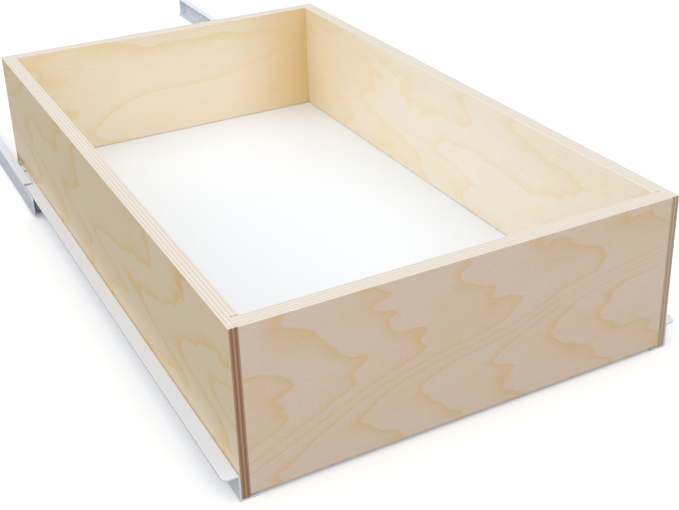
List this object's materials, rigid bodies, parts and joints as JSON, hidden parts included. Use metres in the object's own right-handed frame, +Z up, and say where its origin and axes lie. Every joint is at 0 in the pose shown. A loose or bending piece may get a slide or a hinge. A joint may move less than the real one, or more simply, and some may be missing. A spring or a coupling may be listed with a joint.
{
  "type": "cabinet drawer slide",
  "caption": "Plywood drawer box with a white bottom on bottom-mounted roller slides: a bent steel drawer rail and cabinet rail on each side, each with a nylon roller.",
  "frame": {"origin": "bottom centre of the whole assembly with the drawer pulled out, level with the undersides of the drawer rails' lips", "axes": "+X to the right, seen from the front; +Y into the cabinet, along the slide; +Z up"},
  "size_m": [0.3554, 0.996, 0.1212],
  "materials": {
    "birch_ply": "clear-coated birch plywood",
    "white_panel": "white melamine",
    "white_enamel": "white epoxy-coated sheet steel",
    "nylon": "light grey nylon",
    "zinc_steel": "bright zinc plate",
    "bright_steel": "bright steel"
  },
  "bodies": {
    "cabinet_rails": {"left_cabinet_rail": "white_enamel", "right_cabinet_rail": "white_enamel", "left_front_axle": "zinc_steel", "right_front_axle": "zinc_steel"},
    "drawer": {"drawer_front": "birch_ply", "drawer_back": "birch_ply", "left_side": "birch_ply", "right_side": "birch_ply", "bottom_panel": "white_panel", "left_drawer_rail": "white_enamel", "right_drawer_rail": "white_enamel", "left_corner_brads": "bright_steel", "right_corner_brads": "bright_steel", "left_rail_screws": "zinc_steel", "right_rail_screws": "zinc_steel", "left_rear_axle": "zinc_steel", "right_rear_axle": "zinc_steel"},
    "left_front_wheel": {"left_front_roller": "nylon"},
    "right_front_wheel": {"right_front_roller": "nylon"},
    "left_rear_wheel": {"left_rear_roller": "nylon"},
    "right_rear_wheel": {"right_rear_roller": "nylon"}
  },
  "joints": [
    {"name": "drawer_travel", "type": "slide", "parent": "cabinet_rails", "child": "drawer", "axis": [0, 1, 0], "range_m": [0, 0.444]},
    {"name": "left_front_roller_spin", "type": "hinge", "parent": "cabinet_rails", "child": "left_front_wheel", "pos_m": [-0.1713, -0.0375, 0.009], "axis": [1, 0, 0], "continuous": true},
    {"name": "right_front_roller_spin", "type": "hinge", "parent": "cabinet_rails", "child": "right_front_wheel", "pos_m": [0.1713, -0.0375, 0.009], "axis": [1, 0, 0], "continuous": true},
    {"name": "left_rear_roller_spin", "type": "hinge", "parent": "drawer", "child": "left_rear_wheel", "pos_m": [-0.1708, 0.043, 0.0107], "axis": [1, 0, 0], "continuous": true},
    {"name": "right_rear_roller_spin", "type": "hinge", "parent": "drawer", "child": "right_rear_wheel", "pos_m": [0.1708, 0.043, 0.0107], "axis": [1, 0, 0], "continuous": true}
  ],
  "couplings": [
    {"joint": "left_front_roller_spin", "follows": "drawer_travel", "rad_per_m": -111.11},
    {"joint": "right_front_roller_spin", "follows": "drawer_travel", "rad_per_m": -111.11},
    {"joint": "left_rear_roller_spin", "follows": "drawer_travel", "rad_per_m": -111.11},
    {"joint": "right_rear_roller_spin", "follows": "drawer_travel", "rad_per_m": -111.11}
  ]
}
